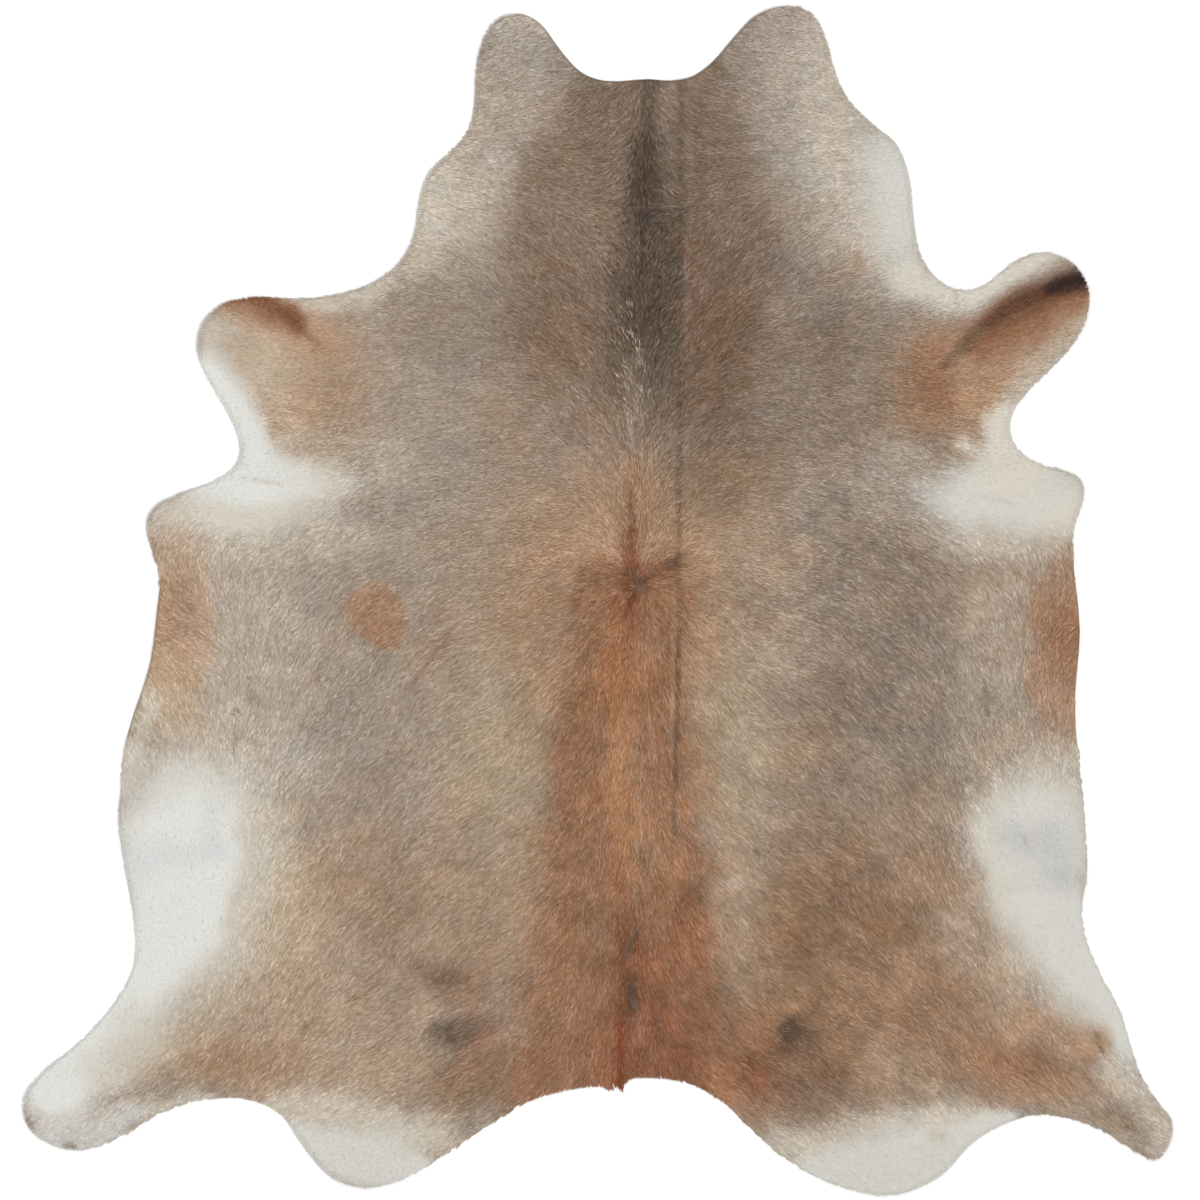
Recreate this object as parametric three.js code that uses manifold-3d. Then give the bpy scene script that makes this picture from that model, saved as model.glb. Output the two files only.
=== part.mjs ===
// A cowhide rug: one whole hide with its hair on, lying hair side up on its flesh side.
// Millimetres, but for the outline's photograph pixels. X runs across the hide, Y from the rump (minus) to the
// neck (plus), Z up from the floor.
// The hide is one uneven sheet. It is cut from a slab that follows the folds, by the hide's outline.

import * as THREE from "three";
import { mergeVertices } from "three/addons/utils/BufferGeometryUtils.js";
import Module from "manifold-3d";

// Driving sizes: the whole hide over its lobes and shanks.
const HIDE_WIDTH = 2125;
const HIDE_LENGTH = 2200;

// Thickness of the hide with its lying hair, along the back and out at the belly edges.
const BACK_THICKNESS = 5.5;
const BELLY_THICKNESS = 4.5;

// How finely the sheet and its rim are divided.
const GRID_STEP = 62;
const STEPS_PER_OUTLINE_POINT = 3;

// The slab stands this far past the outline all round, and the cutter this far past the slab.
const SLAB_MARGIN = 40;
const CUTTER_MARGIN = 10;

// The trimmed edge, clockwise from the left side of the neck, as [across, down] points read in pixels of the
// 1200 by 1200 photograph. The overall width and length above give them their real size. A smooth curve
// passes through them, so there is one point at each turn and one between far ones.
const OUTLINE_IN_PHOTO = {
  leftNeckLobe: [
    [380, 279], [402, 260], [415, 235], [421, 197], [430, 172], [450, 152.5], [468, 131], [475, 105],
    [476.5, 72], [483, 42], [497, 20], [520, 12], [542, 22], [562, 48.5], [583, 71], [607, 79.5],
  ],
  neckCut: [[649, 77.5], [668, 79], [690, 76]],
  rightNeckLobe: [
    [711, 62], [735, 34.5], [756, 14], [787, 4.5], [812, 12.5], [826, 36], [836, 72],
    [850, 100], [876, 126], [898, 145], [911, 182], [914, 215], [921, 253], [938, 279],
  ],
  rightForeShank: [
    [960, 290.5], [980, 287.5], [1003, 269], [1022, 256], [1046, 252.5], [1070, 260], [1086, 279], [1090, 300],
    [1083.5, 327], [1068, 351.5], [1018, 404], [1010.5, 425], [1016, 446], [1037, 463], [1067, 471],
    [1083, 482], [1083.5, 500], [1074, 530],
  ],
  rightFlank: [
    [1074.5, 556], [1081.5, 630], [1077, 690], [1077.5, 730], [1083, 785], [1087, 855],
    [1087, 878], [1083, 898], [1085, 935], [1100.5, 973], [1121, 1013], [1138, 1067],
  ],
  rightHindShank: [
    [1154, 1096], [1172, 1119], [1171, 1141], [1155, 1161.5], [1130, 1148.5], [1095, 1127.5],
    [1057, 1116], [1030, 1116], [1000, 1126.5], [972, 1144], [940, 1177],
  ],
  rightRumpLobe: [[893, 1195], [848, 1188.5], [806, 1171.5], [768, 1145.5], [722, 1102], [692, 1084.5]],
  tailTuft: [
    [655, 1078.5], [628, 1081], [622, 1092], [615, 1084.5],
    [610, 1090.5], [602, 1087], [560, 1092.5], [525, 1104],
  ],
  leftRumpLobe: [
    [430, 1165.5], [397, 1181.5], [365, 1187.5], [333, 1178], [305, 1148],
    [282, 1115], [258, 1102], [225, 1098], [190, 1103],
  ],
  leftHindShank: [
    [155, 1117.5], [118, 1139.5], [80, 1150.5], [50, 1143.5], [29, 1126.5], [26, 1100],
    [45, 1073], [79, 1044], [111, 1010], [132, 975], [137.5, 945],
  ],
  leftFlank: [
    [129, 880], [121.5, 825], [122, 780], [128, 733], [150, 665], [157, 612], [160, 577], [154, 553],
  ],
  leftForeShank: [
    [148, 528], [153, 510], [172, 497], [205, 485], [231, 471.5], [241, 453], [235, 425],
    [204, 368], [199, 343], [206, 320], [226, 302.5], [255, 296.5], [300, 298.5], [345, 292.5],
  ],
};

// The fold down the length of the hide, a hand to the right of the back line.
const LENGTHWISE_FOLD = { name: "lengthwise fold", from: [155, 990], to: [137, -480], reach: 17, height: 2.6 };

// The other creases, each a soft ridge along a line. Reach is half the ridge's width.
const CREASES = [
  { name: "left flank crease", from: [-900, -274], to: [-735, -274], reach: 34, height: 3 },
  { name: "right flank kink", from: [930, -512], to: [800, -530], reach: 40, height: 5 },
  { name: "right shoulder tuck", from: [664, 590], to: [662, 515], reach: 34, height: 3 },
  { name: "left armpit pucker", from: [-640, 222], to: [-520, 204], reach: 36, height: 3 },
  { name: "right armpit pucker", from: [655, 218], to: [760, 232], reach: 36, height: 3 },
];

// Where the hide stands a little off the floor in a low swell.
const SWELLS = [
  { name: "left neck lobe", at: [-175, 1010], reach: [95, 150], height: 5 },
  { name: "right neck lobe", at: [350, 1020], reach: [110, 150], height: 6 },
  { name: "left shoulder", at: [-300, 690], reach: [140, 170], height: 4 },
  { name: "left fore shank tip", at: [-735, 470], reach: [130, 120], height: 7 },
  { name: "right fore shank tip", at: [900, 570], reach: [140, 130], height: 8 },
  { name: "right armpit corner", at: [885, 200], reach: [110, 90], height: 5 },
  { name: "left armpit corner", at: [-820, 150], reach: [110, 100], height: 5 },
  { name: "left belly edge", at: [-850, -60], reach: [110, 190], height: 4 },
  { name: "right belly edge", at: [890, -120], reach: [110, 200], height: 4 },
  { name: "left flank edge", at: [-870, -430], reach: [150, 130], height: 6 },
  { name: "left hind shank tip", at: [-1040, -940], reach: [140, 130], height: 8 },
  { name: "right hind shank tip", at: [1050, -1010], reach: [130, 110], height: 7 },
  { name: "left rump lobe", at: [-440, -1080], reach: [170, 110], height: 5 },
  { name: "right rump lobe", at: [520, -1090], reach: [190, 110], height: 5 },
  { name: "left loin", at: [-420, -560], reach: [210, 260], height: 2.5 },
  { name: "right loin", at: [520, -330], reach: [190, 300], height: 2.5 },
  { name: "left ribs", at: [-430, 120], reach: [230, 210], height: 2 },
];

const COAT_COLOUR = 0xa8998a;
const COAT_ROUGHNESS = 0.8;

// A bump that is 1 at nought, 0 from 1 outwards, and level at both ends.
function softBump(distance) {
  return distance < 1 ? Math.cos(distance * Math.PI / 2) ** 2 : 0;
}

function distanceToLine(x, y, from, to) {
  const along = new THREE.Vector2(to[0] - from[0], to[1] - from[1]);
  const offset = new THREE.Vector2(x - from[0], y - from[1]);
  const share = THREE.MathUtils.clamp(offset.dot(along) / along.lengthSq(), 0, 1);
  return offset.addScaledVector(along, -share).length();
}

function creaseLift(crease, x, y) {
  return crease.height * softBump(distanceToLine(x, y, crease.from, crease.to) / crease.reach);
}

function swellLift(swell, x, y) {
  const across = (x - swell.at[0]) / swell.reach[0];
  const along = (y - swell.at[1]) / swell.reach[1];
  return swell.height * softBump(Math.hypot(across, along));
}

// How far the flesh side stands off the floor: exactly nothing over most of the hide.
function lift(x, y) {
  let height = creaseLift(LENGTHWISE_FOLD, x, y);
  for (const crease of CREASES) height += creaseLift(crease, x, y);
  for (const swell of SWELLS) height += swellLift(swell, x, y);
  return height;
}

function thickness(x) {
  const outwards = THREE.MathUtils.smoothstep(Math.abs(x), 0, HIDE_WIDTH / 2);
  return THREE.MathUtils.lerp(BACK_THICKNESS, BELLY_THICKNESS, outwards);
}

// The lengthwise fold's place across the hide, at a place along it.
function foldAcross(y) {
  const { from, to } = LENGTHWISE_FOLD;
  return THREE.MathUtils.mapLinear(y, to[1], from[1], to[0], from[0]);
}

// Evenly spaced lines from low to high, with closer lines of their own across each crease.
function gridLines(low, high, creases) {
  const close = creases.flatMap(({ at, reach }) => [-1, -0.5, 0, 0.5, 1].map((share) => at + share * reach));
  const count = Math.round((high - low) / GRID_STEP);
  const even = Array.from({ length: count + 1 }, (_, i) => THREE.MathUtils.lerp(low, high, i / count));
  const isClear = (line) => close.every((other) => Math.abs(line - other) > GRID_STEP / 3);
  const isEnd = (line) => line === low || line === high;
  return [...even.filter((line) => isEnd(line) || isClear(line)), ...close].sort((a, b) => a - b);
}

// The uneven slab that the hide is cut from. Its columns run along the lengthwise fold.
function slabGeometry() {
  const halfWidth = HIDE_WIDTH / 2 + SLAB_MARGIN;
  const halfLength = HIDE_LENGTH / 2 + SLAB_MARGIN;
  const middle = foldAcross(0);
  const rowCreases = CREASES.filter(({ from, to }) => Math.abs(to[0] - from[0]) > Math.abs(to[1] - from[1]));
  const columns = gridLines(-halfWidth, halfWidth, [{ at: middle, reach: LENGTHWISE_FOLD.reach }]);
  const rows = gridLines(-halfLength, halfLength, rowCreases.map(({ from, reach }) => ({ at: from[1], reach })));

  const top = [];
  const bottom = [];
  for (const y of rows) {
    for (const column of columns) {
      const isRim = column === columns[0] || column === columns.at(-1);
      const x = isRim ? column : column + foldAcross(y) - middle;
      const base = lift(x, y);
      top.push(x, y, base + thickness(x));
      bottom.push(x, y, base);
    }
  }

  const perRow = columns.length;
  const perSide = perRow * rows.length;
  const index = [];
  const quad = (a, b, c, d) => index.push(a, b, c, a, c, d);
  for (let row = 0; row < rows.length - 1; row++) {
    for (let column = 0; column < perRow - 1; column++) {
      const a = row * perRow + column;
      quad(a, a + 1, a + perRow + 1, a + perRow);
      quad(a + perSide, a + perSide + perRow, a + perSide + perRow + 1, a + perSide + 1);
    }
  }
  for (let column = 0; column < perRow - 1; column++) {
    const front = column;
    const back = (rows.length - 1) * perRow + column;
    quad(front + perSide, front + perSide + 1, front + 1, front);
    quad(back, back + 1, back + perSide + 1, back + perSide);
  }
  for (let row = 0; row < rows.length - 1; row++) {
    const left = row * perRow;
    const right = left + perRow - 1;
    quad(left, left + perRow, left + perRow + perSide, left + perSide);
    quad(right + perSide, right + perSide + perRow, right + perRow, right);
  }

  const geometry = new THREE.BufferGeometry();
  geometry.setAttribute("position", new THREE.Float32BufferAttribute([...top, ...bottom], 3));
  geometry.setIndex(index);
  return geometry;
}

// The smooth outline, centred on the origin and drawn to the hide's overall width and length.
function outlinePoints() {
  const read = Object.values(OUTLINE_IN_PHOTO).flat();
  const drawn = read.map(([across, down]) => new THREE.Vector3(across, -down, 0));
  const curve = new THREE.CatmullRomCurve3(drawn, true, "centripetal");
  const points = curve.getPoints(drawn.length * STEPS_PER_OUTLINE_POINT).slice(0, -1);
  const box = new THREE.Box3().setFromPoints(points);
  const centre = box.getCenter(new THREE.Vector3());
  const size = box.getSize(new THREE.Vector3());
  return points.map(({ x, y }) => new THREE.Vector2(
    (x - centre.x) * HIDE_WIDTH / size.x,
    (y - centre.y) * HIDE_LENGTH / size.y,
  ));
}

// An upright prism of the outline, taller than the slab both ways.
function cutterGeometry(slab) {
  slab.computeBoundingBox();
  const { min, max } = slab.boundingBox;
  const height = max.z - min.z + 2 * CUTTER_MARGIN;
  const geometry = new THREE.ExtrudeGeometry(new THREE.Shape(outlinePoints()), {
    depth: height,
    bevelEnabled: false,
    steps: 1,
  });
  return geometry.translate(0, 0, min.z - CUTTER_MARGIN);
}

function toSolid(wasm, geometry) {
  const bare = geometry.clone();
  bare.deleteAttribute("normal");
  bare.deleteAttribute("uv");
  const merged = mergeVertices(bare);
  return new wasm.Manifold(new wasm.Mesh({
    numProp: 3,
    vertProperties: new Float32Array(merged.attributes.position.array),
    triVerts: new Uint32Array(merged.index.array),
  }));
}

function fromSolid(solid) {
  const { vertProperties, triVerts } = solid.getMesh();
  const geometry = new THREE.BufferGeometry();
  geometry.setAttribute("position", new THREE.BufferAttribute(vertProperties, 3));
  geometry.setIndex(new THREE.BufferAttribute(triVerts, 1));
  geometry.computeVertexNormals();
  return geometry;
}

const wasm = await Module();
wasm.setup();

function makeHide() {
  const slab = slabGeometry();
  const solid = toSolid(wasm, slab).intersect(toSolid(wasm, cutterGeometry(slab)));
  const material = new THREE.MeshStandardMaterial({
    color: COAT_COLOUR,
    roughness: COAT_ROUGHNESS,
    metalness: 0,
    flatShading: true,
  });
  const hide = new THREE.Mesh(fromSolid(solid), material);
  hide.name = "hide";
  return hide;
}

const rug = new THREE.Group();
rug.add(makeHide());

export default rug;
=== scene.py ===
# A cowhide rug lying hair side up: the skin, and the short coat that lies on it in five layers of hair.
# Blender works in metres. The tables give places on the hide in millimetres: across, then along to the neck.
import math

import bpy
import numpy as np
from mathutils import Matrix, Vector
from mathutils.bvhtree import BVHTree
from mathutils.geometry import delaunay_2d_cdt
from mathutils.kdtree import KDTree


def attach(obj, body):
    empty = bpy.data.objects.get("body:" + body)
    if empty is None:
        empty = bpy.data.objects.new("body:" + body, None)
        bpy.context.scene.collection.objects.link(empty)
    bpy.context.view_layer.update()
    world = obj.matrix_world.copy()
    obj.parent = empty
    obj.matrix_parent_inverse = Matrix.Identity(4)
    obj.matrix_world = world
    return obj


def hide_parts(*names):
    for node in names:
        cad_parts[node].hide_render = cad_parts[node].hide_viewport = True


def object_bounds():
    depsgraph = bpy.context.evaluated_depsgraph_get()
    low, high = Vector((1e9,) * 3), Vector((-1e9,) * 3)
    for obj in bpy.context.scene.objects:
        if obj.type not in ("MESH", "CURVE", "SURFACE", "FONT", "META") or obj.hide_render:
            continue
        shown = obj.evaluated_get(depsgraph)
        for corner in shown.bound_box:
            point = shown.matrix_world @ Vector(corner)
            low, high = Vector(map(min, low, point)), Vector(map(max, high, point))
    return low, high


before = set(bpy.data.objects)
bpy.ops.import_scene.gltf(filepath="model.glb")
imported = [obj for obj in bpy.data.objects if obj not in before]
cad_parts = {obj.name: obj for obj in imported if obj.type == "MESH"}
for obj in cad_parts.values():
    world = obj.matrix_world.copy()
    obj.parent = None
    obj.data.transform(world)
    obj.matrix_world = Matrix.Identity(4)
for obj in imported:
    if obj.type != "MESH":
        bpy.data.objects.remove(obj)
CAD_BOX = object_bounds()

MM = 0.001
SEED = 20260

# The flat hide, as it was cut.
FLAT_SIZE = (2.125, 2.2)

# The picture is taken from straight above the middle of the hide.
CAMERA_LENS = 200
CAMERA_SENSOR = 36
CAMERA_FAR = 200
PICTURE_WIDTH = 2.2184
CAMERA_ACROSS = 0.0032

# The sky's light, and two wide suns: name, strength, width, tilt and turn in degrees.
SKY_STRENGTH = 0.645
SUNS = [("key", 1.56, 25, 38, 40), ("fill", 0.52, 60, 30, 200)]

# The white floor, half its side in metres and its drop below the rug in millimetres.
FLOOR_HALF = 40
FLOOR_DROP = 0.4
FLOOR_COLOUR = {"Red": 0.93, "Green": 0.93, "Blue": 0.925}
FLOOR_ROUGHNESS = 0.9

# Even grids over the hide: a coarse one for its shape and the lie of the hair, a fine one for its colour.
SHAPE_STEP = 5
COAT_STEP = 2.5
GRID_MARGIN = 20

# The rows of a three-way grid, as a share of the step along a row.
ROW_STEP = math.sqrt(3) / 2

# The hide's edge: the step between its points, and how they are smoothed.
RIM_STEP = 2
RIM_SMOOTHING = 5
RIM_NEIGHBOURS = 8

# The underside faces down. Its height is found by looking up from below the floor.
UNDERSIDE_TILT = -0.5
FROM_BELOW = -50
NEAR_EDGE = 1
JUST_INSIDE_EDGE = 2

# The hide's thickness with its hair.
THICKNESS_AT_BACK = 5.5
THICKNESS_AT_BELLY = 4.5

# The skin, with its edge set back under the hair.
SKIN_THICKNESS = 2.0
SKIN_RIM_STEP = 6
SKIN_GRID_STEP = 17
SKIN_FILL_INSIDE = 1
SKIN_JOIN_WITHIN = 1e-4
SKIN_SETBACK = 2.5
SKIN_SETBACK_UNDER_OVERHANG = 4.5
SETBACK_PASSES = 3
SETBACK_NEIGHBOUR = 9
SETBACK_ZONE = 15

# The back line: its place across the hide at places along it, from the neck to the rump.
BACK_LINE = [(961, 86), (704, 81), (24, 77), (-370, 62), (-740, 44)]

# How the hair lies, alike on both sides of the back line, in strips that run down the hide. Each strip has
# its distance from the back line, and the hair's heading at places along the hide, in degrees from straight
# outward, plus toward the neck. Above the whorl the hair lies to the neck, below it to the rump.
HAIR_LIE = {
    "beside the back": (40, [(1000, -50), (760, -35), (690, 40), (600, 55), (100, 60), (10, -45),
        (-100, -80)]),
    "by the back": (130, [(1000, -15), (830, 5), (670, 45), (480, 45), (340, 35), (150, 10), (-20, -20),
        (-200, -50)]),
    "upper ribs": (270, [(950, -15), (830, 0), (750, 20), (640, 40), (500, 10), (350, -10), (50, -10),
        (-120, -25), (-260, -35)]),
    "ribs": (480, [(600, 10), (350, -15), (150, -20), (50, -35), (-120, -45), (-600, -50), (-820, -30)]),
    "flank": (670, [(600, 20), (430, 15), (200, -20), (50, -55), (-120, -70), (-700, -60), (-950, -40)]),
    "belly edge": (830, [(600, 35), (300, 20), (150, -40), (50, -100), (-40, -160), (-200, -110), (-400, -80),
        (-700, -55), (-1000, -35)]),
}
PARTING_REACH = 34
LEAN_TO_RUMP = 0.02

# Where the hair turns out from a point: across, along and reach.
WHORLS = [(77, 24, 48), (-670, -209, 22), (715, -185, 26)]

# How far the lie of the hair wavers in degrees, and over what length.
WAVERS = [(9, 60), (7, 24)]

# Streaks and clumps drawn out along the lie of the hair: reach and grain, and how they shade and lift locks.
STREAKS = (20, 2.5)
STREAK_TONE = 0.03
CLUMPS = (45, 5)
CLUMP_TONE = 0.02
CLUMP_LIFT = 0.05
STREAK_LIMIT = 2.2

# First seeds of the random blotches.
WAVER_SEED = 11
WANDER_SEED = 21
MOTTLE_SEED = 41

# The coat's colours as they look in even light, red, green and blue from 0 to 255.
COLOURS = {
    "white": (222, 222, 216),
    "cool_white": (209, 212, 209),
    "bone": (209, 207, 199),
    "stone": (196, 194, 189),
    "ivory": (213, 207, 194),
    "cream": (199, 189, 174),
    "pale": (190, 179, 164),
    "straw": (188, 171, 149),
    "pale_taupe": (179, 166, 151),
    "light_taupe": (170, 157, 144),
    "beige": (166, 150, 133),
    "taupe": (160, 145, 130),
    "grey_taupe": (141, 125, 110),
    "dim_taupe": (127, 111, 96),
    "brown": (133, 113, 96),
    "warm_brown": (121, 97, 78),
    "umber": (104, 88, 74),
    "deep_umber": (82, 67, 55),
    "charcoal": (68, 55, 45),
    "soot": (44, 29, 24),
    "olive_beige": (174, 155, 130),
    "sand": (174, 151, 128),
    "tan": (183, 155, 129),
    "apricot": (174, 141, 113),
    "hazel": (164, 128, 99),
    "fawn": (166, 140, 116),
    "dun": (154, 132, 112),
    "cinnamon": (153, 123, 99),
    "bay": (141, 111, 86),
    "clay": (151, 112, 84),
    "sienna": (145, 102, 74),
    "rust": (136, 91, 65),
    "ginger": (160, 111, 78),
    "peach": (170, 126, 92),
    "chestnut": (116, 76, 54),
    "dark_chestnut": (84, 54, 40),
    "russet": (126, 68, 44),
    "belly_brown": (165, 135, 112),
}
GROUND = "taupe"

# Patches of colour, painted in this order: colour, strength, middle across and along, and half width and
# length. Where they aren't the usual ones, softness of the edge and turn in degrees come after.
PATCH_SOFTNESS = 0.8
PATCHES = [
    # Flanks and sides of the back.
    ("pale_taupe", 0.95, -665, -90, 140, 300, 0.5),
    ("olive_beige", 0.85, -180, -260, 115, 260, 0.6),
    ("grey_taupe", 1, 540, -130, 140, 370, 0.4),
    ("beige", 0.95, 745, -110, 75, 260, 0.6),
    ("dun", 0.85, 375, -300, 65, 150),
    ("dun", 0.7, 540, -430, 150, 70),
    ("olive_beige", 0.85, 250, -260, 70, 200, 0.6),
    ("pale_taupe", 0.9, -430, 255, 90, 55, 0.7),
    ("grey_taupe", 0.95, 425, 430, 140, 180, 0.5),
    # Neck and shoulders.
    ("brown", 1, 70, 650, 255, 420, 0.35),
    ("grey_taupe", 0.7, -240, 510, 120, 75, 0.7),
    ("brown", 0.6, 200, 320, 150, 130, 0.7),
    ("fawn", 0.85, 70, 60, 300, 170, 0.6),
    ("grey_taupe", 0.7, 60, 265, 75, 45, 0.9),
    ("dun", 0.7, -165, 310, 65, 110),
    ("bay", 0.6, 240, 225, 80, 75),
    ("hazel", 0.6, 60, 130, 105, 150),
    ("hazel", 0.6, -98, -60, 75, 220),
    ("hazel", 0.5, 185, -60, 55, 130),
    ("hazel", 0.6, 190, -330, 34, 120),
    ("sienna", 0.5, 140, 20, 34, 40, 0.9),
    ("fawn", 0.6, -280, -80, 65, 90),
    ("light_taupe", 0.95, -170, 975, 95, 150, 0.45),
    ("pale", 0.6, -150, 1075, 60, 40),
    ("pale_taupe", 0.95, -235, 790, 75, 150, 0.5, -8),
    ("pale_taupe", 0.9, -330, 650, 50, 45, 0.7),
    ("cream", 0.9, -312, 735, 55, 95, 0.7, -15),
    ("light_taupe", 0.95, 395, 900, 108, 220, 0.45, 12),
    ("pale", 0.95, 460, 800, 75, 200, 0.55, 14),
    ("pale", 0.8, 420, 1000, 35, 90, 0.8, 8),
    ("bone", 1, 555, 745, 62, 145, 0.6, 4),
    ("dun", 0.6, 448, 600, 38, 38),
    ("warm_brown", 0.5, 300, 650, 40, 60, 0.9),
    ("warm_brown", 0.7, -75, 500, 75, 90),
    ("warm_brown", 0.9, 215, 490, 75, 150, 0.6),
    ("umber", 0.6, 125, 720, 55, 90, 0.9),
    ("umber", 0.9, 78, 530, 86, 180, 0.5),
    ("deep_umber", 0.7, 92, 560, 50, 110),
    ("charcoal", 0.35, 66, 525, 28, 35, 0.9),
    ("dim_taupe", 0.7, 425, 480, 40, 40),
    # Left hind quarter.
    ("sand", 0.9, -500, -690, 270, 270, 0.4),
    ("dun", 0.8, -385, -600, 60, 220),
    ("apricot", 0.3, -500, -520, 60, 50, 0.9),
    ("straw", 0.55, -572, -585, 50, 110, 0.9),
    ("fawn", 0.8, -265, -540, 70, 160, 0.7),
    ("fawn", 0.7, -150, -600, 60, 200, 0.7),
    ("cinnamon", 0.8, -230, -720, 45, 70),
    ("warm_brown", 0.35, -270, -850, 50, 45, 0.9),
    ("bay", 0.9, -185, -885, 112, 48, 0.8, 8),
    ("hazel", 0.6, -690, -850, 120, 50, 0.8, -8),
    # Right hind quarter.
    ("bay", 0.95, 430, -690, 190, 250, 0.45),
    ("cinnamon", 0.9, 620, -790, 140, 150, 0.6, 20),
    ("sand", 0.8, 725, -650, 60, 140, 0.8, 30),
    ("cinnamon", 0.9, 790, -885, 130, 45, 0.7, -5),
    ("fawn", 0.8, 545, -875, 75, 45),
    ("fawn", 0.85, 250, -600, 45, 180, 0.7),
    ("hazel", 0.5, 620, -520, 60, 60),
    ("sienna", 0.85, 268, -855, 105, 95),
    ("rust", 0.5, 290, -885, 45, 35, 0.9),
    ("warm_brown", 0.6, 385, -845, 55, 70, 0.9),
    ("clay", 0.85, 762, -858, 95, 42, 0.8, -10),
    # Fore shanks and armpits.
    ("tan", 0.95, -565, 415, 120, 150, 0.5),
    ("fawn", 0.85, -480, 400, 55, 100),
    ("straw", 0.9, -620, 435, 46, 85, 0.8, 20),
    ("cream", 0.9, -720, 490, 40, 50),
    ("cinnamon", 0.95, 630, 390, 95, 115, 0.6),
    ("clay", 0.8, 632, 415, 45, 55),
    ("apricot", 1, 712, 395, 48, 80, 0.6, 15),
    ("pale", 0.8, -590, 115, 180, 45, 0.7),
    ("cream", 0.8, -795, 150, 50, 40),
    ("ivory", 0.95, -655, 168, 135, 44, 0.6),
    ("pale_taupe", 0.8, -550, 290, 50, 32),
    ("ivory", 0.9, -530, 215, 75, 38, 0.7),
    ("white", 1, -655, 218, 115, 42, 0.5),
    ("light_taupe", 0.9, 555, 215, 75, 75, 0.6),
    ("pale", 0.9, 745, 118, 125, 34),
    ("bone", 1, 765, 192, 158, 64, 0.4),
    ("ivory", 0.8, 855, 155, 45, 40),
    # Belly edges.
    ("tan", 0.9, -785, -50, 70, 165, 0.5),
    ("belly_brown", 0.9, -778, -25, 42, 60, 0.7),
    ("straw", 0.7, -800, -215, 60, 50),
    ("pale", 0.75, -700, -310, 170, 55),
    ("belly_brown", 0.95, 865, -90, 78, 175, 0.25),
    ("clay", 0.9, 870, -70, 50, 75, 0.6),
    ("pale", 0.8, 860, -305, 70, 50),
    # Spots.
    ("hazel", 0.88, -410, -24, 55, 55, 0.3),
    ("hazel", 0.75, -400, -62, 30, 32, 0.4, 20),
    ("sienna", 0.6, -215, -815, 40, 40, 0.9),
    ("umber", 0.85, -262, -796, 46, 24, 0.8, 5),
    ("warm_brown", 0.7, -293, -697, 40, 28, 0.8, -30),
    ("deep_umber", 0.95, 352, -797, 28, 30),
    ("apricot", 0.7, 685, 281, 26, 26, 0.5),
]

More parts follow.
